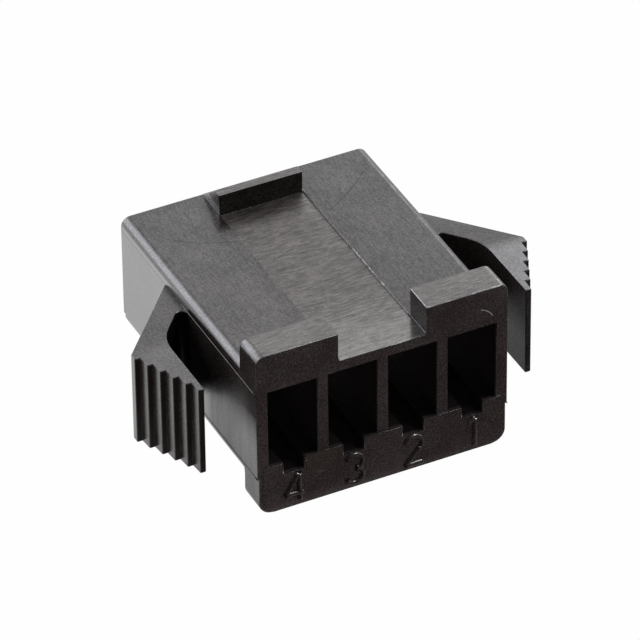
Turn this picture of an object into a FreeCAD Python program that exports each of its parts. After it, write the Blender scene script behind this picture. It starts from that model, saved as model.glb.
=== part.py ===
"""Four-way wire connector housing, moulded in one piece.

The wires enter at the front, -Y, each into its own cavity. The mating half enters the
hood at the back, +Y. A ribbed wing on each side is squeezed to spread the hood's walls
and let the mating half go. X runs along the row of cavities and +Z is up. The origin is
on the surface that the foot rests on, at the middle of the length and of the width.
"""
import FreeCAD, Part
import os
import re
import Sketcher

# Driving sizes, in millimetres.
SIZES = {
    "positions": 4,
    "pitch": 2.5,
    "cavity_width": 2.04,
    "cavity_depth": 5.6,
    "floor_thickness": 1.04,
    "roof_thickness": 0.57,
    "side_wall": 0.48,
    "body_length": 11.85,
    "body_height": 5.04,
    "body_edge_radius": 0.4,
    "hood_depth": 4.6,
    "hood_wall": 0.48,
    "hood_corner_radius": 0.2,
    "tab_height": 1.16,
    "tab_depth": 1.38,
    "tab_spacing": 3.66,
    "tab_corner_radius": 0.38,
    "foot_height": 1.16,
    "foot_depth": 1.28,
    "foot_corner_radius": 0.55,
    "lower_inset": 0.06,
    "sill_proud": 0.06,
    "sill_inset": 0.26,
    "channel_width": 3.56,
    "channel_depth": 0.08,
    "wedge_height": 0.86,
    "wedge_length": 1.52,
    "wedge_flat": 0.42,
    "wing_inset": 0.57,
    "wing_root_setback": 7.93,
    "wing_root_bite": 0.2,
    "elbow_reach": 3.02,
    "elbow_setback": 4.47,
    "ribs_setback": 4.13,
    "tip_setback": 1.33,
    "tip_width": 0.24,
    "finger_gap": 1.48,
    "arm_thickness": 0.92,
    "arm_bend_radius": 1.74,
    "arm_root_radius": 0.26,
    "rib_count": 5,
    "rib_depth": 0.215,
    "groove_width": 0.87,
    "groove_depth": 0.5,
    "groove_length": 3.2,
    "lance_pocket_width": 1.3,
    "lance_pocket_depth": 0.5,
    "lance_pocket_length": 1.0,
    "lance_ledge": 0.5,
    "passage_width": 1.5,
    "passage_height": 1.9,
    "catch_depth": 0.2,
    "catch_length": 1.2,
    "catch_height": 2.4,
    "catch_setback": 1.1,
}

# Places worked out from the driving sizes, as expressions of the sheet.
HALF_WIDTH = "((positions - 1) * pitch / 2 + cavity_width / 2 + side_wall)"
FRONT = "((sill_proud - body_length) / 2)"
BACK = f"({FRONT} + body_length)"
BODY_BOTTOM = "foot_height"
BODY_TOP = "(foot_height + body_height)"
MIDDLE = "(foot_height + body_height / 2)"
TAB_TOP = f"({BODY_TOP} + tab_height)"
CAVITY_FLOOR = "(foot_height + floor_thickness)"
CAVITY_ROOF = f"({BODY_TOP} - roof_thickness)"
WING_HEIGHT = "(body_height - 2 * wing_inset)"
LOWER_WIDTH = f"({HALF_WIDTH} - lower_inset)"
PARTING = "(foot_height + wing_inset)"
FIRST_CAVITY = "(-(positions - 1) * pitch / 2)"
RIB_RUN = "((elbow_reach - finger_gap - tip_width) / rib_count)"
RIB_RISE = "((ribs_setback - tip_setback) / rib_count)"


def bound(text):
    """The expression with each size's name pointed at the sheet."""
    return re.sub(r"[a-z_]+", lambda word: f"Sizes.{word[0]}" if word[0] in SIZES else word[0], text)


def make_sheet(doc):
    """The spreadsheet of driving sizes, a name and a number to a row."""
    sheet = doc.addObject("Spreadsheet::Sheet", "Sizes")
    for row, (name, value) in enumerate(SIZES.items(), start=1):
        sheet.set(f"A{row}", name)
        sheet.set(f"B{row}", str(value))
        sheet.setAlias(f"B{row}", name)
    doc.recompute()
    return sheet


def value_of(body, text):
    """The number that an expression gives with the sheet's sizes."""
    return float(body.evalExpression(bound(text)))


def origin_plane(body, role):
    return next(item for item in body.Origin.OriginFeatures if item.Role == role)


def add_sketch(body, name, role, offset, *loops):
    """A sketch on an origin plane, moved along its normal, with each corner of each closed
    loop held at a pair of expressions."""
    sketch = body.newObject("Sketcher::SketchObject", name)
    sketch.AttachmentSupport = (origin_plane(body, role), [""])
    sketch.MapMode = "FlatFace"
    sketch.setExpression(".AttachmentOffset.Base.z", bound(offset))
    for loop in loops:
        first = sketch.GeometryCount
        spots = [FreeCAD.Vector(value_of(body, x), value_of(body, y), 0) for x, y in loop]
        for start, end in zip(spots, spots[1:] + spots[:1]):
            sketch.addGeometry(Part.LineSegment(start, end))
        for step, (x, y) in enumerate(loop):
            line = first + step
            following = first + (step + 1) % len(loop)
            sketch.addConstraint(Sketcher.Constraint("Coincident", line, 2, following, 1))
            hold_corner(sketch, "DistanceX", line, spots[step].x, x)
            hold_corner(sketch, "DistanceY", line, spots[step].y, y)
    return sketch


def hold_corner(sketch, kind, line, value, text):
    """Hold one coordinate of a line's start at an expression."""
    index = sketch.addConstraint(Sketcher.Constraint(kind, -1, 1, line, 1, value))
    sketch.setExpression(f"Constraints[{index}]", bound(text))


def rectangle(left, right, bottom, top):
    """The four corners of an upright rectangle, as expressions."""
    return [(left, bottom), (right, bottom), (right, top), (left, top)]


def extrude(body, kind, name, profile, length, both_ways=False, flip=False):
    """A pad or pocket of a sketch, checked to have changed the solid's volume."""
    before = body.Shape.Volume if body.Tip else 0.0
    feature = body.newObject(f"PartDesign::{kind}", name)
    feature.Profile = profile
    feature.SideType = "Symmetric" if both_ways else "One side"
    feature.Reversed = flip
    feature.setExpression("Length", bound(length))
    body.Document.recompute()
    change = feature.Shape.Volume - before
    if (change <= 0) == (kind == "Pad"):
        raise RuntimeError(f"{name} changed the volume by {change:.4f}")
    return feature


def repeat(body, name, features, direction, spacing, count):
    """Copies of the features in a row."""
    row = body.newObject("PartDesign::LinearPattern", name)
    row.Originals = features
    row.Direction = direction
    row.Mode = "Spacing"
    row.setExpression("Offset", bound(spacing))
    row.setExpression("Occurrences", bound(count))
    body.Tip = row
    body.Document.recompute()
    return row


def round_edges(body, name, axis, places, radius):
    """Fillet the straight edges along an axis ("X", "Y" or "Z") that pass through the places.
    A place gives the two other coordinates, and perhaps a point along the edge."""
    base = body.Tip
    along = "XYZ".index(axis)
    across = [number for number in range(3) if number != along]
    chosen = []
    for index, edge in enumerate(base.Shape.Edges, start=1):
        start, end = edge.Vertexes[0].Point, edge.Vertexes[-1].Point
        if edge.Curve.TypeId != "Part::GeomLine" or any(abs(start[a] - end[a]) > 1e-6 for a in across):
            continue
        for place in places:
            spot = [value_of(body, text) for text in place]
            near = all(abs(start[a] - spot[number]) < 1e-4 for number, a in enumerate(across))
            low, high = sorted((start[along], end[along]))
            if near and (len(spot) < 3 or low < spot[2] < high):
                chosen.append(f"Edge{index}")
    if len(chosen) < len(places):
        raise RuntimeError(f"{name} found {len(chosen)} of {len(places)} edges")
    fillet = body.newObject("PartDesign::Fillet", name)
    fillet.Base = (base, chosen)
    fillet.setExpression("Radius", bound(radius))
    body.Document.recompute()
    return fillet


def make_block(body):
    """The long box of the body, a little narrower below the level of the wings' underside,
    where the mould parts, with its four long edges rounded."""
    outline = [
        (f"-{LOWER_WIDTH}", BODY_BOTTOM), (LOWER_WIDTH, BODY_BOTTOM), (LOWER_WIDTH, PARTING),
        (HALF_WIDTH, PARTING), (HALF_WIDTH, BODY_TOP), (f"-{HALF_WIDTH}", BODY_TOP),
        (f"-{HALF_WIDTH}", PARTING), (f"-{LOWER_WIDTH}", PARTING)]
    profile = add_sketch(body, "BlockOutline", "XZ_Plane", f"-{FRONT}", outline)
    extrude(body, "Pad", "Block", profile, "body_length", flip=True)
    corners = [(f"{side} * {width}", z) for side in (-1, 1)
               for width, z in ((LOWER_WIDTH, BODY_BOTTOM), (HALF_WIDTH, BODY_TOP))]
    round_edges(body, "BlockEdges", "Y", corners, "body_edge_radius")


def make_flange(body):
    """The thicker front end: a foot across the bottom and two tabs on the top."""
    foot = rectangle(f"-{LOWER_WIDTH}", LOWER_WIDTH, "0", PARTING)
    profile = add_sketch(body, "FootOutline", "XZ_Plane", f"-{FRONT}", foot)
    extrude(body, "Pad", "Foot", profile, "foot_depth", flip=True)
    tabs = [rectangle(f"{side} * tab_spacing / 2", f"{side} * {HALF_WIDTH}", MIDDLE, TAB_TOP) for side in (-1, 1)]
    profile = add_sketch(body, "TabOutline", "XZ_Plane", f"-{FRONT}", *tabs)
    extrude(body, "Pad", "Tabs", profile, "tab_depth", flip=True)
    round_edges(body, "FootCorners", "Y", [(f"-{LOWER_WIDTH}", "0"), (LOWER_WIDTH, "0")], "foot_corner_radius")
    tops = [(f"-{HALF_WIDTH}", TAB_TOP), (HALF_WIDTH, TAB_TOP)]
    round_edges(body, "TabCorners", "Y", tops, "tab_corner_radius")


def make_sill(body):
    """The plate under the cavities, a little proud of the front face."""
    edge = f"({HALF_WIDTH} - sill_inset)"
    outline = rectangle(f"-{edge}", edge, "sill_inset", CAVITY_FLOOR)
    profile = add_sketch(body, "SillOutline", "XZ_Plane", f"-{FRONT}", outline)
    extrude(body, "Pad", "Sill", profile, "sill_proud")


def make_channel(body):
    """The shallow channel along the top, from the front face to the wedge."""
    end = f"({BACK} - wedge_length)"
    outline = rectangle("-channel_width / 2", "channel_width / 2", FRONT, end)
    profile = add_sketch(body, "ChannelOutline", "XY_Plane", BODY_TOP, outline)
    extrude(body, "Pocket", "Channel", profile, "channel_depth")


def make_wedges(body):
    """A push ledge on the top and on the bottom, as wide as the channel, with a flat crest
    and a slope down to the hood's mouth."""
    face = f"({BACK} - wedge_length)"
    for name, side, surface in (("TopWedge", 1, BODY_TOP), ("BottomWedge", -1, BODY_BOTTOM)):
        seat = f"({surface} - {side} * hood_wall / 2)"
        crest = f"({surface} + {side} * wedge_height)"
        outline = [(face, seat), (BACK, seat), (BACK, surface), (f"({face} + wedge_flat)", crest), (face, crest)]
        profile = add_sketch(body, f"{name}Outline", "YZ_Plane", "0", outline)
        extrude(body, "Pad", name, profile, "channel_width", both_ways=True)


def make_wing(body, name, side):
    """One squeeze wing: an arm that leaves the side wall on a slant, bends forward at its
    elbow and ends in a ribbed grip that stands clear of the body."""
    def out(reach):
        return f"{side} * ({HALF_WIDTH} + {reach})"

    def back(setback):
        return f"({FRONT} + {setback})"

    slant = "((wing_root_setback - elbow_setback) / elbow_reach)"
    lean = f"sqrt(1 + {slant} * {slant})"
    inner_root = f"(wing_root_setback - arm_thickness * {lean})"
    inner_bend = f"({inner_root} - {slant} * finger_gap)"
    outline = [
        (out("-wing_root_bite"), back("wing_root_setback")),
        (out("0"), back("wing_root_setback")),
        (out("elbow_reach"), back("elbow_setback")),
        (out("elbow_reach"), back("ribs_setback")),
        (out("(finger_gap + tip_width)"), back("tip_setback")),
        (out("finger_gap"), back("tip_setback")),
        (out("finger_gap"), back(inner_bend)),
        (out("0"), back(inner_root)),
        (out("-wing_root_bite"), back(inner_root)),
    ]
    profile = add_sketch(body, f"{name}Outline", "XY_Plane", MIDDLE, outline)
    extrude(body, "Pad", name, profile, WING_HEIGHT, both_ways=True)
    bend = (out("finger_gap"), back(inner_bend))
    round_edges(body, f"{name}Bend", "Z", [bend], "arm_bend_radius")
    root = (out("0"), back(inner_root), MIDDLE)
    round_edges(body, f"{name}Root", "Z", [root], "arm_root_radius")
    make_ribs(body, name, profile, out, back)


def make_ribs(body, name, outline, out, back):
    """Steps cut down the slanted face of the grip, the first at its rear end."""
    step = [
        (out("(elbow_reach + rib_depth)"), back("ribs_setback")),
        (out("(elbow_reach - rib_depth)"), back("ribs_setback")),
        (out(f"(elbow_reach - {RIB_RUN})"), back(f"(ribs_setback - {RIB_RISE})")),
    ]
    profile = add_sketch(body, f"{name}StepOutline", "XY_Plane", MIDDLE, step)
    cut = extrude(body, "Pocket", f"{name}Step", profile, "body_height", both_ways=True)
    spacing = f"sqrt({RIB_RUN} * {RIB_RUN} + {RIB_RISE} * {RIB_RISE})"
    repeat(body, f"{name}Ribs", [cut], (outline, ["Edge4"]), spacing, "rib_count")


def make_cavities(body):
    """A row of wire cavities, each with a groove and a lance pocket in its floor and a
    narrow passage through to the hood."""
    def about(width, bottom, top):
        return rectangle(f"{FIRST_CAVITY} - {width} / 2", f"{FIRST_CAVITY} + {width} / 2", bottom, top)

    face = f"(sill_proud - {FRONT})"
    bore = add_sketch(body, "CavityOutline", "XZ_Plane", face, about("cavity_width", CAVITY_FLOOR, CAVITY_ROOF))
    cavity = extrude(body, "Pocket", "Cavity", bore, "cavity_depth + sill_proud")
    groove_floor = f"({CAVITY_FLOOR} - groove_depth)"
    slot = add_sketch(body, "GrooveOutline", "XZ_Plane", face, about("groove_width", groove_floor, MIDDLE))
    groove = extrude(body, "Pocket", "Groove", slot, "groove_length + sill_proud")
    pocket_floor = f"({CAVITY_FLOOR} - lance_pocket_depth)"
    pocket_place = f"(-{FRONT} - groove_length - lance_ledge)"
    well = about("lance_pocket_width", pocket_floor, MIDDLE)
    drop = add_sketch(body, "LancePocketOutline", "XZ_Plane", pocket_place, well)
    pocket = extrude(body, "Pocket", "LancePocket", drop, "lance_pocket_length")
    low = f"({MIDDLE} - passage_height / 2)"
    high = f"({MIDDLE} + passage_height / 2)"
    narrow = add_sketch(body, "PassageOutline", "XZ_Plane", face, about("passage_width", low, high))
    passage = extrude(body, "Pocket", "Passage", narrow, "body_length - hood_depth / 2")
    row = add_sketch(body, "RowAxis", "XZ_Plane", face, about("pitch", low, high))
    repeat(body, "CavityRow", [cavity, groove, pocket, passage], (row, ["H_Axis"]), "pitch", "positions")


def make_hood(body):
    """The open hood at the back, with a shallow catch recess in each side wall."""
    inner = f"({HALF_WIDTH} - side_wall)"
    floor = f"({BODY_BOTTOM} + hood_wall)"
    roof = f"({BODY_TOP} - hood_wall)"
    mouth = rectangle(f"-{inner}", inner, floor, roof)
    profile = add_sketch(body, "HoodOutline", "XZ_Plane", f"-{BACK}", mouth)
    extrude(body, "Pocket", "Hood", profile, "hood_depth", flip=True)
    corners = [(x, z) for x in (inner, f"-{inner}") for z in (floor, roof)]
    round_edges(body, "HoodCorners", "Y", corners, "hood_corner_radius")
    far = f"({BACK} - catch_setback)"
    near = f"({far} - catch_length)"
    reach = f"({inner} + catch_depth)"
    recess = rectangle(f"-{reach}", reach, near, far)
    profile = add_sketch(body, "CatchOutline", "XY_Plane", MIDDLE, recess)
    extrude(body, "Pocket", "Catches", profile, "catch_height", both_ways=True)


def check(doc, node):
    """Stop if any object failed or the solid isn't a single valid one."""
    for item in doc.Objects:
        if "Invalid" in item.State or "Error" in item.State:
            raise RuntimeError(f"{item.Name} failed: {item.State}")
    if node.Shape.isNull() or not node.Shape.isValid() or len(node.Shape.Solids) != 1:
        raise RuntimeError(f"{node.Label} isn't one valid solid")


def main():
    doc = FreeCAD.newDocument("ConnectorHousing")
    make_sheet(doc)
    body = doc.addObject("PartDesign::Body", "Housing")
    body.Label = "housing"
    make_block(body)
    make_flange(body)
    make_sill(body)
    make_channel(body)
    make_wedges(body)
    make_wing(body, "LeftWing", -1)
    make_wing(body, "RightWing", 1)
    make_cavities(body)
    make_hood(body)
    doc.recompute()
    check(doc, body)
    os.makedirs("parts", exist_ok=True)
    body.Shape.exportStep(f"parts/{body.Label}.step")


main()
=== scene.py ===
"""Looks of a four-way wire connector housing: the finish of its black nylon, with painted shade and painted
highlights in its sheen and colour, the rounded edges, the raised position digits, the marks that the mould
left, and the stage."""

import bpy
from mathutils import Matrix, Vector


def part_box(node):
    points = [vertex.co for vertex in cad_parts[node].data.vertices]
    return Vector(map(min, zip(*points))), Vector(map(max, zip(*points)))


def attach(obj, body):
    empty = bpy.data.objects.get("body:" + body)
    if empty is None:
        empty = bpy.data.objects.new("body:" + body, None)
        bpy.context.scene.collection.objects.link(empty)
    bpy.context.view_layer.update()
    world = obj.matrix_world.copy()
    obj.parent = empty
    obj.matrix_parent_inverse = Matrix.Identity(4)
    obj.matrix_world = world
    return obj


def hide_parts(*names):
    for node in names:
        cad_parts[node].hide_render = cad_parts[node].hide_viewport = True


bl_info = {
    "name": "Wire connector housing",
    "version": (1, 0, 0),
    "blender": (4, 5, 0),
    "location": "3D View > Sidebar > Housing",
    "description": "Dresses the moulded housing and sets up its studio",
    "category": "Object",
}

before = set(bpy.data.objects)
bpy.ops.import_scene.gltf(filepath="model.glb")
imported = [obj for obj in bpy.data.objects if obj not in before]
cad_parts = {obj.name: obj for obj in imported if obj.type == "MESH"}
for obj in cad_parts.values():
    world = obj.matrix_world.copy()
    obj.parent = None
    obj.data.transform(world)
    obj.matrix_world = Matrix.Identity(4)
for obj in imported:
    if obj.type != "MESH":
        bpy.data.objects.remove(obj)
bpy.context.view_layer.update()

from functools import partial

import bmesh
import bpy
import numpy as np
from bpy.props import FloatProperty, FloatVectorProperty, IntProperty, PointerProperty
from bpy.types import Node, NodeSocket, Operator, Panel, PropertyGroup
from mathutils import Matrix, Vector

MM = 0.001
LOW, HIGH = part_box("housing")

# Places on the housing, in metres, from its box and its own sizes.
FOOT_HEIGHT = 1.16 * MM
BODY_TOP = 6.20 * MM
CAVITY_ROOF = 5.63 * MM
CAVITY_FLOOR = 2.20 * MM
HALF_BODY = 5.25 * MM
FLANGE_FACE = LOW.y + 0.06 * MM
FLANGE_BACK = FLANGE_FACE + 1.38 * MM
WEDGE_FACE = HIGH.y - 1.52 * MM
CHANNEL_HALF = 1.78 * MM
CHANNEL_DEPTH = 0.08 * MM
PITCH = 2.5 * MM
WING_TOP = 5.63 * MM
WING_BOTTOM = 1.73 * MM
WING_ROOT_FRONT = FLANGE_FACE + 6.53 * MM
ELBOW = FLANGE_FACE + 4.47 * MM

# The moulding's edges: which points are one, which faces are one flat face, which edges are
# sharp enough to be rounded and which ends line up. Inner corners and the edges of the channel's
# step and of the sill are rounded by a share of what the others get.
MERGE = 0.0001 * MM
COPLANAR = np.radians(0.2)
SHARP = np.radians(36)
ALIGNED = 0.01 * MM
INNER_ROUNDING = 0.1
SHALLOW_ROUNDING = 0.3

# The marks of the ejector pins on the front, each as its place across and its height. The first
# pin's ring on the plate isn't quite round its disc. A ring shows over part of its circle only,
# in degrees from the right, on the left tab and the right one by its own arc. The rings on the
# tabs are thinner than the other witness lines, by the last share.
PIN_HEIGHT = 1.97 * MM
PIN_DISC = (-PITCH - 0.06 * MM, PIN_HEIGHT)
PIN_RING = (-1.02 * PITCH, PIN_HEIGHT)
PIN_RADIUS = 0.7 * MM
PIN_RING_ARC = (175, 375)
TAB_PIN_ASIDE = 3.9 * MM
TAB_PIN_HEIGHT = 5.72 * MM
TAB_PIN_RADIUS = 0.78 * MM
TAB_RING_ARCS = ((-1, (100, 172)), (1, (25, 75)))
TAB_RING_WIDTH = 0.55

# Two long scratches on the top: each one's circle, as its centre's two places and its radius,
# and its middle across. The depth is the share of the tone that they take away.
HAIRLINES = (
    (-0.78 * MM, 7.34 * MM, 4.90 * MM, -3.05 * MM),
    (-2.43 * MM, 11.29 * MM, 9.65 * MM, 3.28 * MM))
HAIRLINE_DEPTH = 0.4

# How strongly each surface mirrors what is round it, where one is the plain skin's strength. A pair goes
# from one end of the surface to the other, in the order in which its tone runs. Apart from the pin's disc,
# these strengths are painted light: where they darken a surface they are painted shade, and where they
# brighten it they are painted highlights and reflections.
TONE = {
    "wing_side": 0.15, "wing_tread": 0.4, "slot": 0.05, "wedge_front": 0.3,
    "upper_left": (0.5, 2.4), "flange_left": 0.03, "left_edge": 1.1, "tab_inside": 0.08,
    "low_left_body": (0.22, 0.12), "low_left_flange": (0.5, 0.012), "passages": (0.05, 1.0),
    "beside_channel": (0.57, 0.66), "channel_front": (0.0, 0.7), "channel_rear": (0.95, 1.7),
    "crowns": (0.95, 1.1), "wing_tops": (0.6, 1.9), "pin_disc": 0.8,
}

# The strength of the lines along the body and along the row, the grain's strength between the
# latter, the size of the skin's clouds, and how rough the cavities' walls are.
BODY_LINES = 0.5
ROW_LINES = 1.15
ROW_GRAIN = 0.6
CLOUD_SIZE = 1.7 * MM
PASSAGE_ROUGHNESS = 0.85

# The share of the floor's brightness that it has reached halfway back.
HALF_BRIGHT = 0.57

# Each soft lamp's place, side and power.
LAMPS = {
    "right_rear": ((0.20, 0.29, 0.24), 0.26, 0.12),
    "left_rear": ((-0.19, 0.31, 0.20), 0.31, 1.0),
    "right_front": ((0.20, -0.06, 0.34), 0.14, 0.8),
}


def linear(code):
    """A colour written as sRGB hex, turned to linear light, with an alpha of one."""
    share = np.array([int(code[i:i + 2], 16) for i in (1, 3, 5)]) / 255
    light = np.where(share <= 0.04045, share / 12.92, ((share + 0.055) / 1.055) ** 2.4)
    return (*light.tolist(), 1.0)


class MouldingSettings(PropertyGroup):
    edge_radius: FloatProperty(
        name="Edge radius", description="Rounding of the moulding's sharp edges",
        default=0.045 * MM, min=0.0, unit="LENGTH", precision=6)
    edge_steps: IntProperty(name="Edge steps", description="Facets across a rounded edge", default=3, min=1)
    nylon: FloatVectorProperty(
        name="Nylon", description="Colour of the black nylon",
        default=linear("#1f1918"), subtype="COLOR", size=4, min=0.0, max=1.0)
    scuff: FloatVectorProperty(
        name="Scuff", description="Colour where the skin is greyed",
        default=linear("#443e3b"), subtype="COLOR", size=4, min=0.0, max=1.0)
    # Painted highlight: the white mixed in on the rims on the right side, as glints.
    glinting: FloatVectorProperty(
        name="Worn rim", description="Colour of the worn rims on the right side",
        default=linear("#f2f1ef"), subtype="COLOR", size=4, min=0.0, max=1.0)
    pinned: FloatVectorProperty(
        name="Pinned", description="Colour of the disc that the first ejector pin left",
        default=linear("#4a3d34"), subtype="COLOR", size=4, min=0.0, max=1.0)
    # Painted light: lighter than the nylon, this lifts the deep walls of the passages, where little light
    # reaches.
    inside: FloatVectorProperty(
        name="Inside", description="Colour of the rough skin inside the passages and the grips",
        default=linear("#453a37"), subtype="COLOR", size=4, min=0.0, max=1.0)
    # Painted shade: this dark colour darkens the mouths of the passages and the left wing's slot.
    mouth_shade: FloatVectorProperty(
        name="Mouth", description="Colour of the skin just inside the passages and the bends",
        default=linear("#120e0d"), subtype="COLOR", size=4, min=0.0, max=1.0)
    roughness: FloatProperty(
        name="Roughness", description="Roughness of the moulded skin",
        default=0.25, min=0.0, max=1.0, subtype="FACTOR")
    sheen: FloatProperty(
        name="Sheen", description="Specular level of the moulded skin",
        default=0.58, min=0.0, max=1.0, subtype="FACTOR")
    line_gap: FloatProperty(
        name="Line gap", description="Spacing of the grinder's lines",
        default=0.07 * MM, unit="LENGTH", precision=6)
    line_run: FloatProperty(
        name="Line run", description="Length of the grinder's lines",
        default=0.45 * MM, unit="LENGTH", precision=6)
    grain: FloatProperty(
        name="Grain", description="Size of the skin's grain on the other faces",
        default=0.07 * MM, unit="LENGTH", precision=6)


class DigitSettings(PropertyGroup):
    pitch: FloatProperty(
        name="Pitch", description="Spacing of the positions",
        default=PITCH, unit="LENGTH", precision=6)
    first: FloatProperty(
        name="First position", description="Centre of the digit 4",
        default=-1.5 * PITCH, unit="LENGTH", precision=6)
    baseline: FloatProperty(
        name="Baseline", description="Height of the digits' feet",
        default=0.19 * MM, unit="LENGTH", precision=6)
    height: FloatProperty(
        name="Height", description="Height of a digit",
        default=1.48 * MM, unit="LENGTH", precision=6)
    stroke: FloatProperty(
        name="Stroke", description="Width of a stroke",
        default=0.21 * MM, unit="LENGTH", precision=6)
    relief: FloatProperty(
        name="Relief", description="How far a stroke stands proud",
        default=0.1 * MM, unit="LENGTH", precision=6)


class MarkSettings(PropertyGroup):
    ring_radius: FloatProperty(
        name="Ring radius", description="Radius of an ejector pin's witness ring",
        default=PIN_RADIUS, unit="LENGTH", precision=6)
    line_width: FloatProperty(
        name="Line width", description="Width of a witness line",
        default=0.06 * MM, unit="LENGTH", precision=6)
    line_relief: FloatProperty(
        name="Line relief", description="How far a witness line stands proud",
        default=0.015 * MM, unit="LENGTH", precision=6)


class StageSettings(PropertyGroup):
    floor_size: FloatProperty(
        name="Floor size", description="Side of the square floor", default=1.6, unit="LENGTH")
    background: FloatVectorProperty(
        name="Background", description="Colour of the floor and the backdrop",
        default=linear("#fefefe"), subtype="COLOR", size=4, min=0.0, max=1.0)
    ambient: FloatProperty(
        name="Ambient", description="Strength of the even light from all round", default=0.22, min=0.0)
    front_tint: FloatVectorProperty(
        name="Front tint", description="Colour of what gloss shows of the dim side in front",
        default=linear("#ffdcd8"), subtype="COLOR", size=4, min=0.0, max=1.0)
    front_gloss: FloatProperty(
        name="Front gloss", description="Strength of what gloss shows of the dim side in front",
        default=0.15, min=0.0)
    rear_gloss: FloatProperty(
        name="Rear gloss", description="Strength of what gloss shows of the bright wall behind",
        default=1.5, min=0.0)
    left_glow: FloatProperty(
        name="Left glow", description="Strength of the light table's glow on the left, as gloss shows it",
        default=1.72, min=0.0)
    right_glow: FloatProperty(
        name="Right glow", description="Strength of the light table's glow on the right, as gloss shows it",
        default=0.6, min=0.0)
    dim_from: FloatProperty(
        name="Dim from", description="How far forward the floor is at its dimmest",
        default=-6.8 * MM, unit="LENGTH", precision=6)
    half_from: FloatProperty(
        name="Half from", description="Where the floor reaches half its brightness",
        default=-4.8 * MM, unit="LENGTH", precision=6)
    bright_from: FloatProperty(
        name="Bright from", description="Where the floor reaches its full brightness",
        default=3.0 * MM, unit="LENGTH", precision=6)


def add_node(tree, kind, *values, named=(), **settings):
    """A node with its settings. Its inputs in use are set in order, and those that are named as
    well, to a value or by a link from a socket. A node that is given as a value stands for its
    first output in use."""
    made = tree.nodes.new("ShaderNode" + kind)
    for name, setting in settings.items():
        setattr(made, name, setting)
    in_use = [socket for socket in made.inputs if socket.enabled]
    by_name = [(made.inputs[name], value) for name, value in dict(named).items()]
    for socket, value in [*zip(in_use, values), *by_name]:
        if isinstance(value, Node):
            value = next(output for output in value.outputs if output.enabled)
        if isinstance(value, NodeSocket):
            tree.links.new(value, socket)
        else:
            socket.default_value = value
    return made


class Skin:
    """The nylon's nodes. They start from where a shaded point lies on the housing and which way
    its face looks, and from masks worked out from these. Each mask is one on its own surfaces
    and zero elsewhere."""

    SIGNS = {"<": "LESS_THAN", ">": "GREATER_THAN", "near": "COMPARE"}

    def __init__(self, tree):
        self.node = partial(add_node, tree)
        place = self.node("TexCoord")
        self.place = place.outputs["Object"]
        self.across, self.along, self.height = self.node("SeparateXYZ", self.place).outputs
        normal = self.node("SeparateXYZ", place.outputs["Normal"])
        self.rightward, self.rearward, self.upward = normal.outputs
        self.aside = self.node("Math", self.across, operation="ABSOLUTE")
        where = self.where

        # Faces by their slope.
        self.level = where((self.upward, ">", 0.9))
        self.upright = where((self.upward, "<", 0.25))
        self.leftward = where((self.rightward, "<", -0.97))

        # The tops: all of them from the channel's floor up, then the tabs' and the wedge's alone,
        # the channel's floor, the two of these with lines along the row, and the wings' tops.
        self.upper = where((self.height, ">", BODY_TOP - 0.3 * MM))
        self.tops = where(self.level, self.upper)
        self.crowns = where(self.level, (self.height, ">", BODY_TOP + 0.3 * MM))
        self.channel = where(
            self.tops, (self.height, "<", BODY_TOP - CHANNEL_DEPTH / 2), (self.aside, "<", CHANNEL_HALF))
        self.crossways = self.node("Math", self.crowns, self.channel, operation="MAXIMUM")
        self.wing_tops = where(self.level, (self.aside, ">", HALF_BODY))

        # The flange's length, and the left side of the body and of the flange.
        self.flange = where((self.along, "<", FLANGE_BACK + 0.05 * MM))
        self.left_side = where((self.across, "near", -HALF_BODY, 0.1 * MM))

        # The upright faces of the left wing's slot, with the round end that joins them to the body.
        round_end = where(
            (self.across, "near", -HALF_BODY - 0.5 * MM, 0.498 * MM), (self.rearward, "<", -0.05))
        facing_body = where((self.rightward, ">", -0.3))
        self.slot = where(
            self.upright, (self.across, "<", -HALF_BODY - 0.002 * MM),
            self.node("Math", round_end, facing_body, operation="MAXIMUM"))

        # The walls and floors of the wire cavities and of the hood.
        self.passages = where(
            (self.aside, "<", HALF_BODY - 0.42 * MM),
            (self.height, "near", (CAVITY_ROOF + FOOT_HEIGHT) / 2, (CAVITY_ROOF - FOOT_HEIGHT) / 2),
            self.node("MapRange", self.along, FLANGE_FACE, FLANGE_FACE + 0.15 * MM))

        # The raised digits, and the disc of the first ejector pin on the plate under the cavities.
        self.digits = where((self.along, "<", LOW.y - 0.004 * MM))
        self.pin_disc = where(
            (self.distance(self.across, self.height, PIN_DISC), "<", PIN_RADIUS),
            (self.along, "<", FLANGE_FACE - 0.03 * MM))

    def product(self, *factors):
        """All the factors multiplied with one another."""
        total = factors[0]
        for factor in factors[1:]:
            total = self.node("Math", total, factor, operation="MULTIPLY")
        return total

    def where(self, *conditions):
        """One where every condition holds, and zero elsewhere. A condition is a share between
        zero and one, a value with its sign and its bound, or a value that is near a middle,
        within a reach."""
        shares = []
        for condition in conditions:
            if isinstance(condition, tuple):
                value, sign, *bounds = condition
                condition = self.node("Math", value, *bounds, operation=self.SIGNS[sign])
            shares.append(condition)
        return self.product(*shares)

    def distance(self, first, second, centre):
        """How far a point, given by two of its coordinates, lies from a centre."""
        squares = [
            self.node("Math", self.node("Math", value, middle, operation="SUBTRACT"), 2.0, operation="POWER")
            for value, middle in zip((first, second), centre)]
        return self.node("Math", self.node("Math", *squares, operation="ADD"), operation="SQRT")

    def mottle(self, *sizes, detail=3.0):
        """Noise about zero whose spots measure the three sizes along X, Y and Z."""
        scale = tuple(1 / size for size in sizes)
        scaled = self.node("Mapping", named={"Vector": self.place, "Scale": scale})
        noise = self.node("TexNoise", scaled, 1.0, detail, 0.6)
        return self.node("Math", noise, 0.5, operation="SUBTRACT")


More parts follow.
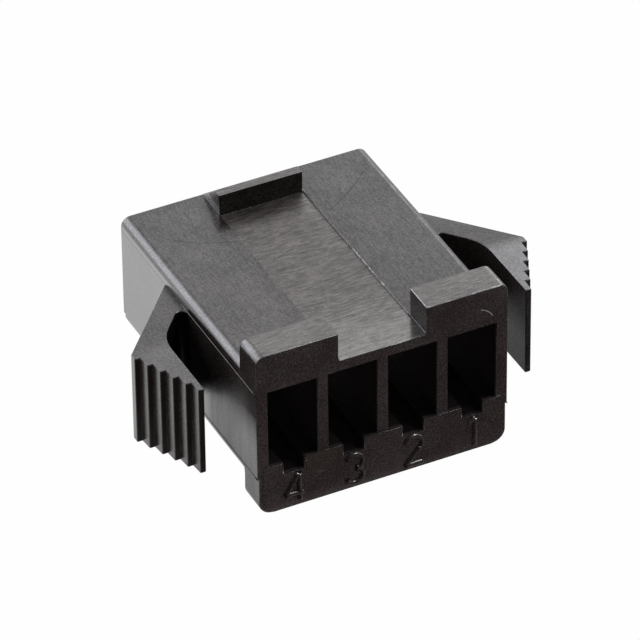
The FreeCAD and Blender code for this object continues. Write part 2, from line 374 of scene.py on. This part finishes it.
def skin_pattern(skin, settings):
    """The skin's fine pattern, about zero: grain, and on the tops the grinder's lines as well,
    along the row in the channel, on the tabs and on the wedge, and along the body beside them.
    Real grain and lines are finer, and these are as coarse as they need to be to show."""
    node, product = skin.node, skin.product
    gap, run, size = settings.line_gap, settings.line_run, settings.grain
    row_lines = product(skin.mottle(run, gap, gap, detail=2.0), ROW_LINES)
    body_lines = product(skin.mottle(gap, run, gap, detail=2.0), BODY_LINES)
    grain = product(skin.mottle(size, size, size), node("Mix", skin.crossways, 1.0, ROW_GRAIN))
    lines = node("Mix", skin.crossways, body_lines, row_lines)
    return node("Mix", skin.tops, grain, node("Math", grain, lines, operation="ADD"))


def beside_channel_tone(skin):
    """The tone of the body's top, a painted reflection: a little more toward its sides, with painted shade
    toward the right tab, and less along the two long scratches."""
    node, product = skin.node, skin.product
    tone = node(
        "MapRange", skin.aside, CHANNEL_HALF, CHANNEL_HALF + 1.2 * MM, *TONE["beside_channel"],
        interpolation_type="SMOOTHSTEP")
    right_half = node("MapRange", skin.across, 0.0, CHANNEL_HALF)
    toward_tab = node("MapRange", skin.along, FLANGE_BACK + 2.0 * MM, FLANGE_BACK, 1.0, 0.86)
    tone = product(tone, node("Mix", right_half, 1.0, toward_tab))
    for centre_x, centre_y, radius, middle in HAIRLINES:
        off = skin.distance(skin.across, skin.along, (centre_x, centre_y))
        scratch = skin.where((off, "near", radius, 0.03 * MM), (skin.across, "near", middle, 1.15 * MM))
        tone = node("Mix", product(scratch, HAIRLINE_DEPTH), tone, 0.0)
    return tone


def low_left_tone(skin):
    """The tone of the body's left side in front of the wing's root: darker the higher it is,
    where the wing and the flange shut off the light table, and streaked up and down."""
    node = skin.node
    lift = node("MapRange", skin.along, FLANGE_BACK, FLANGE_BACK + 3.0 * MM, 0.0, 1.2 * MM)
    front_end = node(
        "MapRange", skin.along, FLANGE_BACK + 1.2 * MM, FLANGE_BACK - 1.2 * MM,
        interpolation_type="SMOOTHSTEP")
    ends = [node("Mix", front_end, body, flange)
            for body, flange in zip(TONE["low_left_body"], TONE["low_left_flange"])]
    lifted = node("Math", skin.height, lift, operation="ADD")
    shelter = node("MapRange", lifted, 3.0 * MM, 4.6 * MM, *ends)
    streaks = skin.mottle(1.0 * MM, 0.4 * MM, 2.4 * MM, detail=2.0)
    return skin.product(shelter, node("Math", streaks, 1.2, 1.0, operation="MULTIPLY_ADD"))


def digit_tone(skin):
    """The tone of the raised digits, painted shade and painted highlights: least on the left of a stroke and
    most on its right and its top, and more on the digit 1 than on the others."""
    node = skin.node
    return skin.product(
        node("MapRange", skin.rightward, -0.55, 0.1, 0.15, 1.0),
        node("MapRange", skin.rightward, 0.3, 0.8, 1.0, 3.0),
        node("MapRange", skin.upward, 0.2, 0.8, 1.0, 2.0),
        node("MapRange", skin.across, PITCH, 1.3 * PITCH, 1.0, 1.8))


def wing_top_tone(skin):
    """The tone of the wings' tops, a painted highlight: most in front of the elbow, and more on the right
    wing.
    """
    before_elbow = skin.node(
        "MapRange", skin.along, ELBOW + 0.3 * MM, ELBOW - 0.5 * MM, interpolation_type="SMOOTHSTEP")
    rightness = skin.node("MapRange", skin.across, LOW.x, HIGH.x, 0.15, 1.0)
    return skin.node("MapRange", skin.product(before_elbow, rightness), 0.0, 1.0, *TONE["wing_tops"])


def skin_tone(skin):
    """How strongly each surface mirrors what is round it, with one for the plain skin. Apart from the long
    scratches and the pin's disc, this is painted light: painted shade on the wing's sides and slot, the
    wedge's front, the flange's left, the tab's inside, the low left side and the passages' mouths, and
    painted highlights and reflections on the upper left side, the left edge, the body's top, the channel,
    the tabs' tops, the wings' tops and the digits. The surfaces are laid over one another in order, so that
    the last one that holds a point counts."""
    node, where = skin.node, skin.where
    outside = where((skin.aside, ">", HALF_BODY + 0.1 * MM), skin.upright)
    treads = where((skin.aside, ">", HALF_BODY + 1.6 * MM), node("MapRange", skin.rightward, -0.3, -0.7))
    treads = node("Math", treads, where((skin.rearward, ">", 0.05)), operation="MAXIMUM")
    wedge = where(
        skin.upper, (skin.along, ">", WEDGE_FACE - 0.1 * MM),
        (skin.aside, "<", CHANNEL_HALF + 0.05 * MM), skin.upright)
    upper_left = where(skin.leftward, skin.left_side, (skin.height, ">", WING_TOP))
    upper_left_tone = node(
        "Mix", skin.flange,
        node("MapRange", skin.height, WING_TOP, BODY_TOP - 0.2 * MM, *TONE["upper_left"]),
        TONE["flange_left"])
    left_edge = where(
        node("MapRange", skin.rightward, -0.1, -0.3), node("MapRange", skin.rightward, -0.97, -0.85),
        (skin.height, ">", BODY_TOP - 0.6 * MM), (skin.across, "<", -HALF_BODY + 0.8 * MM))
    tab_inside = where(
        skin.leftward, skin.flange, (skin.aside, "<", CHANNEL_HALF + 0.2 * MM),
        (skin.height, ">", BODY_TOP - 0.1 * MM))
    low_left = where(
        (skin.rightward, "<", -0.9), skin.left_side, node("MapRange", skin.along, -1.0 * MM, -2.0 * MM))
    channel_tone = node(
        "Math",
        node("MapRange", skin.along, FLANGE_FACE + 4.0 * MM, FLANGE_FACE, *TONE["channel_front"]),
        node("MapRange", skin.along, WEDGE_FACE - 2.0 * MM, WEDGE_FACE, *TONE["channel_rear"]),
        operation="ADD")
    surfaces = (
        (outside, node("Mix", treads, TONE["wing_side"], TONE["wing_tread"])),
        (skin.slot, TONE["slot"]),
        (wedge, TONE["wedge_front"]),
        (upper_left, upper_left_tone),
        (left_edge, TONE["left_edge"]),
        (tab_inside, TONE["tab_inside"]),
        (low_left, low_left_tone(skin)),
        (skin.passages,
         node("MapRange", skin.along, FLANGE_FACE, FLANGE_FACE + 5.0 * MM, *TONE["passages"])),
        (skin.tops, beside_channel_tone(skin)),
        (skin.channel, channel_tone),
        (skin.crowns, node("MapRange", skin.along, WEDGE_FACE, FLANGE_BACK, *TONE["crowns"])),
        (skin.wing_tops, wing_top_tone(skin)),
        (skin.digits, digit_tone(skin)),
        (skin.pin_disc, TONE["pin_disc"]))
    tone = 1.0
    for mask, surface_tone in surfaces:
        tone = node("Mix", mask, tone, surface_tone)
    return tone


def rim_highlights(skin, settings):
    """How white the painted highlights on the right side are: on the channel's step, where painted glints
    fleck part of its length, on the body's edge, on the tab's upper edges, and on the ring on the tab's
    face."""
    node, where, product = skin.node, skin.where, skin.product
    step_reach = node("Mix", skin.flange, 0.1 * MM, 0.015 * MM)
    step = where(
        (skin.across, "near", CHANNEL_HALF, 0.03 * MM), (skin.height, "near", BODY_TOP, step_reach))
    body_edge = where(
        (skin.across, "near", HALF_BODY - 0.4 * MM, 0.41 * MM),
        (skin.height, "near", BODY_TOP - 0.1 * MM, 0.2 * MM), (skin.upward, "near", 0.965, 0.025), 0.25)
    tab_edge = where(
        (skin.height, "near", HIGH.z, 0.04 * MM), skin.flange,
        (skin.rearward, "<", 0.2), (skin.upward, "<", 0.95),
        node("MapRange", skin.rightward, -0.3, 0.0, 1.0, 0.6))
    run = settings.line_run
    flecks = node("MapRange", skin.mottle(run, run, run), 0.0, 0.12)
    edges = product(
        node("Math", tab_edge, body_edge, operation="MAXIMUM"),
        node("Math", flecks, 0.6, 0.35, operation="MULTIPLY_ADD"))
    # Painted glints: white flecks along part of the channel's step.
    glint_flecks = where(flecks, (skin.along, "near", -1.1 * MM, 1.4 * MM))
    step = product(step, node("Math", glint_flecks, 0.9, 0.4, operation="MULTIPLY_ADD"))
    turned = where((skin.upward, "<", 0.99), (skin.across, ">", 0.0))
    rims = product(node("Math", edges, step, operation="MAXIMUM"), turned)
    ring = where(
        (skin.along, "near", FLANGE_FACE - 0.02 * MM, 0.018 * MM),
        (skin.height, ">", BODY_TOP - 0.6 * MM),
        node("MapRange", skin.across, -HALF_BODY, HALF_BODY, 0.0, 0.35))
    return node("Math", rims, ring, operation="MAXIMUM")


def skin_colour(skin, settings, wear):
    """Black nylon, greyed with wear and browner on the pin's disc. Painted shade darkens the left of the
    digits, the mouths of the cavities and the left wing's slot, painted light lifts the cavities' deep
    walls, and painted highlights put white on the rims on the right side. Each layer is a share and the
    colour that it mixes in by that share, over the layers before it."""
    node, where = skin.node, skin.where
    # Painted shade on the left of the digits' strokes, less on the digit 1.
    digit_painted_shade = where(
        skin.digits, node("MapRange", skin.rightward, -0.1, -0.5),
        node("MapRange", skin.across, PITCH, 1.3 * PITCH, 0.75, 0.1))
    # Painted shade at the passages' mouths and in the slot, and painted light deeper in: the share of the
    # lighter colour.
    far_in = where(
        (skin.aside, "<", HALF_BODY),
        node("MapRange", skin.along, FLANGE_FACE, FLANGE_FACE + 4.0 * MM),
        node("MapRange", skin.along, FLANGE_FACE + 6.0 * MM, FLANGE_FACE + 7.0 * MM, 1.0, 0.15))
    in_grip = where((skin.aside, ">", HALF_BODY + 1.5 * MM), 0.2)
    far_in = node("Math", far_in, in_grip, operation="MAXIMUM")
    layers = (
        (node("MapRange", wear, -0.15, 0.4), settings.scuff),
        (digit_painted_shade, settings.mouth_shade),
        (node("Math", skin.passages, skin.slot, operation="MAXIMUM"),
         node("Mix", far_in, settings.mouth_shade, settings.inside, data_type="RGBA")),
        (skin.product(skin.pin_disc, 0.18), settings.pinned),
        (rim_highlights(skin, settings), settings.glinting))
    colour = settings.nylon
    for share, layer in layers:
        colour = node("Mix", share, colour, layer, data_type="RGBA")
    return colour


def moulded_black_nylon():
    """Nylon 66 filled with carbon black, injection moulded in a ground steel mould. The skin is a soft sheen
    over near black. The sheen is uneven where the grinder's lines show: along the row in the channel, on the
    tabs and on the wedge, and along the body beside the channel. Its sheen and colour also carry painted
    shade and painted highlights, surface by surface."""
    settings = bpy.context.scene.housing_moulding
    material = bpy.data.materials.new("moulded_black_nylon")
    material.use_nodes = True
    tree = material.node_tree
    tree.nodes.clear()
    skin = Skin(tree)
    node, product = skin.node, skin.product
    pattern = skin_pattern(skin, settings)
    cloud = skin.mottle(CLOUD_SIZE, CLOUD_SIZE, CLOUD_SIZE)
    wear = node("Math", cloud, 0.6, product(pattern, 1.5), operation="MULTIPLY_ADD")
    tone = skin_tone(skin)
    sheen = product(node("Math", wear, tone, tone, operation="MULTIPLY_ADD"), settings.sheen)
    tint = node("Mix", skin.crossways, linear("#fdfdff"), linear("#fffbf7"), data_type="RGBA")
    rougher = node("MapRange", skin.along, FLANGE_FACE, FLANGE_BACK + 2.0 * MM, -0.08, 0.17)
    rough = node("Math", product(skin.channel, rougher), settings.roughness, operation="ADD")
    rough = node("Math", cloud, 0.15, rough, operation="MULTIPLY_ADD")
    rough = node("Mix", skin.passages, rough, PASSAGE_ROUGHNESS)
    relief = node("Bump", named={"Height": pattern, "Strength": 0.25, "Distance": 0.006 * MM})
    shader = node("BsdfPrincipled", named={
        "Base Color": skin_colour(skin, settings, wear), "Roughness": rough, "Normal": relief,
        "IOR": 1.6, "Specular IOR Level": sheen, "Specular Tint": tint})
    node("OutputMaterial", shader)
    return material


def nylon():
    """The one nylon material, made once."""
    return bpy.data.materials.get("moulded_black_nylon") or moulded_black_nylon()


def dress(piece):
    """Give a finished piece its material and its body."""
    piece.data.materials.clear()
    piece.data.materials.append(nylon())
    bpy.context.scene.collection.objects.link(piece)
    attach(piece, "root")
    return piece


def bead(centres, across, outward, half_width, relief, around=16, rounding=6):
    """A rounded bead along a path on a face, sunk as deep into the face as it stands proud. At
    each point of the path its section is a ring: the point, plus the across direction times half
    the width times the cosine of the angle, plus the outward direction times the relief times
    the sine of the angle. The path is carried on past both ends by a half circle, where the
    ring shrinks by the circle's own formula, so that the ends are round and closed."""
    forward = np.cross(across, outward)
    turn = np.linspace(0, np.pi / 2, rounding + 1)[1:]
    reach, shrink = half_width * np.sin(turn), np.maximum(np.cos(turn), 0.02)
    head = centres[0] - reach[::-1, None] * forward[0]
    tail = centres[-1] + reach[:, None] * forward[-1]
    path = np.vstack([head, centres, tail])
    side = np.vstack([np.repeat(across[:1], rounding, 0), across, np.repeat(across[-1:], rounding, 0)])
    share = np.concatenate([shrink[::-1], np.ones(len(centres)), shrink])
    angle = np.linspace(0, 2 * np.pi, around, endpoint=False)
    rise = relief * np.sin(angle)
    rings = (path[:, None, :]
             + side[:, None, :] * (half_width * np.cos(angle))[None, :, None] * share[:, None, None]
             + np.asarray(outward)[None, None, :] * rise[None, :, None] * share[:, None, None])
    count = len(path)
    ring, step = np.meshgrid(np.arange(count - 1), np.arange(around), indexing="ij")
    following = (step + 1) % around
    quads = np.stack([ring * around + step, ring * around + following,
                      (ring + 1) * around + following, (ring + 1) * around + step], -1).reshape(-1, 4)
    caps = [list(range(around)), list(range((count - 1) * around, count * around))]
    return rings.reshape(-1, 3), quads.tolist() + caps


def bead_piece(name, beads):
    """One mesh of several closed beads, its faces turned outward."""
    points, faces, start = [], [], 0
    for spots, sides in beads:
        points.append(spots)
        faces += [[start + corner for corner in side] for side in sides]
        start += len(spots)
    mesh = bpy.data.meshes.new(name)
    mesh.from_pydata(np.vstack(points), [], faces)
    shell = bmesh.new()
    shell.from_mesh(mesh)
    bmesh.ops.recalc_face_normals(shell, faces=shell.faces)
    shell.to_mesh(mesh)
    shell.free()
    mesh.shade_smooth()
    return dress(bpy.data.objects.new(name, mesh))


def line_path(start, end, steps=12):
    """Points evenly along a straight line."""
    share = np.linspace(0, 1, steps)[:, None]
    return np.asarray(start) * (1 - share) + np.asarray(end) * share


def arc_path(centre, radius, first, last, steps=28):
    """Points around a circle in a plane: the centre plus the radius times the cosine and the
    sine of an angle that runs evenly from the first to the last, in degrees."""
    angle = np.radians(np.linspace(first, last, steps))
    return np.asarray(centre) + radius * np.stack([np.cos(angle), np.sin(angle)], 1)


# Each digit's strokes on a cell one unit high, its middle at zero across and its foot at zero up.
DIGITS = {
    "4": [line_path((0.12, 0.93), (-0.27, 0.30)), line_path((-0.27, 0.30), (0.24, 0.30)),
          line_path((0.12, 0.93), (0.15, 0.06))],
    "3": [arc_path((0.0, 0.70), 0.235, 155, -80), arc_path((0.0, 0.29), 0.24, 80, -155)],
    "2": [arc_path((0.0, 0.70), 0.235, 165, -35), line_path((0.1925, 0.565), (-0.25, 0.06)),
          line_path((-0.25, 0.06), (0.26, 0.06))],
    "1": [line_path((-0.12, 0.80), (0.06, 0.94)), line_path((0.06, 0.94), (0.06, 0.05))],
}


def front_bead(flat, face_y, width, relief):
    """A bead on a plane that faces the front. The path's two numbers are X and Z, and the
    across direction is the path's own direction turned by a right angle in that plane."""
    ahead = np.gradient(flat, axis=0)
    ahead /= np.linalg.norm(ahead, axis=1)[:, None]
    nothing = np.zeros(len(flat))
    centres = np.stack([flat[:, 0], nothing + face_y, flat[:, 1]], 1)
    across = np.stack([ahead[:, 1], nothing, -ahead[:, 0]], 1)
    return bead(centres, across, (0.0, -1.0, 0.0), width / 2, relief)


class HOUSING_OT_moulding(Operator):
    """Put a copy of the moulding with rounded edges in place of the plain one"""
    bl_idname = "housing.add_moulding"
    bl_label = "Moulding"

    def execute(self, context):
        settings = context.scene.housing_moulding
        shell = bmesh.new()
        shell.from_mesh(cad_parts["housing"].data)
        bmesh.ops.remove_doubles(shell, verts=shell.verts, dist=MERGE)
        bmesh.ops.dissolve_limit(shell, angle_limit=COPLANAR, verts=shell.verts, edges=shell.edges)
        rounded = shell.edges.layers.float.new("bevel_weight_edge")
        for edge in shell.edges:
            turn = edge.calc_face_angle_signed()
            if abs(turn) > SHARP:
                ends = np.array([vert.co for vert in edge.verts])
                at_step = np.all(abs(abs(ends[:, 0]) - CHANNEL_HALF) < ALIGNED)
                at_sill = np.all(ends[:, 1] < FLANGE_FACE) and np.all(ends[:, 2] < CAVITY_FLOOR + 0.1 * MM)
                shallow = np.ptp(ends[:, 2]) < ALIGNED and (at_step or at_sill)
                edge[rounded] = INNER_ROUNDING if turn < 0 else SHALLOW_ROUNDING if shallow else 1.0
        mesh = bpy.data.meshes.new("housing_moulding")
        shell.to_mesh(mesh)
        shell.free()
        if "custom_normal" in mesh.attributes:
            mesh.attributes.remove(mesh.attributes["custom_normal"])
        mesh.shade_smooth()
        piece = dress(bpy.data.objects.new("housing_moulding", mesh))
        rounding = piece.modifiers.new("mould edges", "BEVEL")
        rounding.width = settings.edge_radius
        rounding.segments = settings.edge_steps
        rounding.limit_method = "WEIGHT"
        rounding.use_clamp_overlap = False
        weighting = piece.modifiers.new("flat faces", "WEIGHTED_NORMAL")
        weighting.keep_sharp = True
        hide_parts("housing")
        return {"FINISHED"}


class HOUSING_OT_position_digits(Operator):
    """Raise the position digits 4, 3, 2 and 1 on the plate under the cavities"""
    bl_idname = "housing.add_position_digits"
    bl_label = "Position digits"

    def execute(self, context):
        settings = context.scene.housing_digits
        for place, (digit, strokes) in enumerate(DIGITS.items()):
            corner = np.array([settings.first + place * settings.pitch, settings.baseline])
            beads = [
                front_bead(corner + stroke * settings.height, LOW.y, settings.stroke, settings.relief)
                for stroke in strokes]
            bead_piece(f"digit_{digit}", beads)
        return {"FINISHED"}


class HOUSING_OT_mould_marks(Operator):
    """Add the thin lines that the mould's pins and halves left"""
    bl_idname = "housing.add_mould_marks"
    bl_label = "Mould marks"

    def execute(self, context):
        settings = context.scene.housing_marks
        width, relief = settings.line_width, settings.line_relief
        ring = arc_path(PIN_RING, settings.ring_radius, *PIN_RING_ARC)
        bead_piece("plate_pin_rings", [front_bead(ring, LOW.y, width, relief)])
        tabs = [arc_path((side * TAB_PIN_ASIDE, TAB_PIN_HEIGHT), TAB_PIN_RADIUS, *ends)
                for side, ends in TAB_RING_ARCS]
        bead_piece("tab_pin_rings", [
            front_bead(arc, FLANGE_FACE, TAB_RING_WIDTH * width, relief) for arc in tabs])
        for name, side in (("left", -1), ("right", 1)):
            beads = []
            for height in (WING_TOP, WING_BOTTOM):
                centres = line_path((side * HALF_BODY, FLANGE_FACE, height),
                                    (side * HALF_BODY, WING_ROOT_FRONT, height), 24)
                across = np.tile((0.0, 0.0, 1.0), (len(centres), 1))
                beads.append(bead(centres, across, (float(side), 0.0, 0.0), width / 2, relief))
            bead_piece(f"{name}_parting_lines", beads)
        return {"FINISHED"}


class HOUSING_OT_stage(Operator):
    """Set up the pale floor, the white surroundings, the soft lamps and the camera"""
    bl_idname = "housing.add_stage"
    bl_label = "Stage"

    def execute(self, context):
        settings = context.scene.housing_stage
        add_floor(settings)
        add_surroundings(settings)
        aim = Vector((0.0, 0.0, 3.5 * MM))
        for name, (place, size, power) in LAMPS.items():
            add_lamp(name, Vector(place), aim, size, power)
        add_camera()
        context.scene.view_settings.view_transform = "Standard"
        return {"FINISHED"}


def add_floor(settings):
    """A square at the height of the foot. The camera sees it as plain background, without a
    shadow. Gloss sees a light table under white paper: it is dim and warm in front, brightens
    in two halves toward the rear, and is brighter on the left than on the right."""
    half = settings.floor_size / 2
    corners = np.array([(-half, -half, 0), (half, -half, 0), (half, half, 0), (-half, half, 0)])
    mesh = bpy.data.meshes.new("floor")
    mesh.from_pydata(corners, [], [(0, 1, 2, 3)])
    floor = bpy.data.objects.new("floor", mesh)
    bpy.context.scene.collection.objects.link(floor)
    material = bpy.data.materials.new("white_paper_sweep")
    material.use_nodes = True
    tree = material.node_tree
    tree.nodes.clear()
    node = partial(add_node, tree)
    rays = node("LightPath")
    across, along, _ = node("SeparateXYZ", node("TexCoord").outputs["Object"]).outputs
    first_half = node(
        "MapRange", along, settings.dim_from, settings.half_from, interpolation_type="SMOOTHSTEP")
    second_half = node(
        "MapRange", along, settings.half_from, settings.bright_from, interpolation_type="SMOOTHSTEP")
    second_half = node("Math", second_half, 1 - HALF_BRIGHT, operation="MULTIPLY")
    rearward = node("Math", first_half, HALF_BRIGHT, second_half, operation="MULTIPLY_ADD")
    leftward = node("MapRange", across, HIGH.x, LOW.x, settings.right_glow, settings.left_glow)
    lit = node("Math", rearward, leftward, settings.front_gloss, operation="MULTIPLY_ADD")
    shade = node("Mix", first_half, settings.front_tint, settings.background, data_type="RGBA")
    paper = node("BsdfDiffuse", settings.background)
    glow = node("Emission", shade, lit)
    white = node("Emission", settings.background, 1.0)
    mirrored = node("MixShader", rays.outputs["Is Glossy Ray"], paper, glow)
    node("OutputMaterial", node("MixShader", rays.outputs["Is Camera Ray"], mirrored, white))
    mesh.materials.append(material)


def add_surroundings(settings):
    """White for the camera, dimmer in front of the object than behind it for gloss and for
    glass, and a dim even light for all else."""
    world = bpy.data.worlds.new("white_surroundings")
    bpy.context.scene.world = world
    world.use_nodes = True
    tree = world.node_tree
    tree.nodes.clear()
    node = partial(add_node, tree)
    rays = node("LightPath")
    _, along, _ = node("SeparateXYZ", node("TexCoord").outputs["Generated"]).outputs
    behind = node(
        "MapRange", along, -0.5, 0.3, settings.front_gloss, settings.rear_gloss,
        interpolation_type="SMOOTHSTEP")
    mirrored = node(
        "Math", rays.outputs["Is Glossy Ray"], rays.outputs["Is Transmission Ray"], operation="MAXIMUM")
    seen = node("Mix", mirrored, settings.ambient, behind)
    strength = node("Mix", rays.outputs["Is Camera Ray"], seen, 1.0)
    node("OutputWorld", node("Background", settings.background, strength))


def add_lamp(name, place, aim, size, power):
    """A square soft box at a place, turned to face a point."""
    data = bpy.data.lights.new(name, "AREA")
    data.size = size
    data.energy = power
    data.color = linear("#f4f7ff")[:3]
    lamp = bpy.data.objects.new(name, data)
    lamp.location = place
    lamp.rotation_euler = (aim - place).to_track_quat("-Z", "Y").to_euler()
    bpy.context.scene.collection.objects.link(lamp)


def add_camera():
    """A long lens from the front left and above, as far off and as tilted as the photograph's."""
    yaw, pitch, roll = np.radians((-25.977, 36.629, -0.681))
    target = Vector((0.528, 0.494, 3.0)) * MM
    reach = 243.67 * MM
    focal_pixels = 6375.35
    frame_pixels = 640
    back = Vector((np.sin(yaw) * np.cos(pitch), -np.cos(yaw) * np.cos(pitch), np.sin(pitch)))
    right = Vector((0, 0, 1)).cross(back).normalized()
    up = back.cross(right)
    level, lean = float(np.cos(roll)), float(np.sin(roll))
    right, up = level * right + lean * up, level * up - lean * right
    data = bpy.data.cameras.new("camera")
    data.sensor_width = 36.0
    data.lens = focal_pixels * data.sensor_width / frame_pixels
    data.clip_start = 0.01
    data.clip_end = 10.0
    camera = bpy.data.objects.new("camera", data)
    turn = Matrix((right, up, back)).transposed().to_4x4()
    camera.matrix_world = Matrix.Translation(target + back * reach) @ turn
    bpy.context.scene.collection.objects.link(camera)
    bpy.context.scene.camera = camera


class HOUSING_PT_sidebar(Panel):
    """The housing's pieces, its sizes and its stage"""
    bl_idname = "HOUSING_PT_sidebar"
    bl_label = "Connector housing"
    bl_space_type = "VIEW_3D"
    bl_region_type = "UI"
    bl_category = "Housing"

    def draw(self, context):
        scene = context.scene
        groups = (
            (HOUSING_OT_moulding, scene.housing_moulding),
            (HOUSING_OT_position_digits, scene.housing_digits),
            (HOUSING_OT_mould_marks, scene.housing_marks),
            (HOUSING_OT_stage, scene.housing_stage))
        for operator, settings in groups:
            box = self.layout.box()
            box.operator(operator.bl_idname)
            for name in settings.__annotations__:
                box.prop(settings, name)


SETTINGS = {
    "housing_moulding": MouldingSettings,
    "housing_digits": DigitSettings,
    "housing_marks": MarkSettings,
    "housing_stage": StageSettings,
}
OPERATORS = (HOUSING_OT_moulding, HOUSING_OT_position_digits, HOUSING_OT_mould_marks, HOUSING_OT_stage)


def register():
    for group in SETTINGS.values():
        bpy.utils.register_class(group)
    for kind in (*OPERATORS, HOUSING_PT_sidebar):
        bpy.utils.register_class(kind)
    for name, group in SETTINGS.items():
        setattr(bpy.types.Scene, name, PointerProperty(type=group))


def unregister():
    for name in SETTINGS:
        delattr(bpy.types.Scene, name)
    for kind in (HOUSING_PT_sidebar, *reversed(OPERATORS)):
        bpy.utils.unregister_class(kind)
    for group in reversed(SETTINGS.values()):
        bpy.utils.unregister_class(group)


def main():
    register()
    bpy.ops.housing.add_moulding()
    bpy.ops.housing.add_position_digits()
    bpy.ops.housing.add_mould_marks()
    bpy.ops.housing.add_stage()


if __name__ == "__main__":
    main()
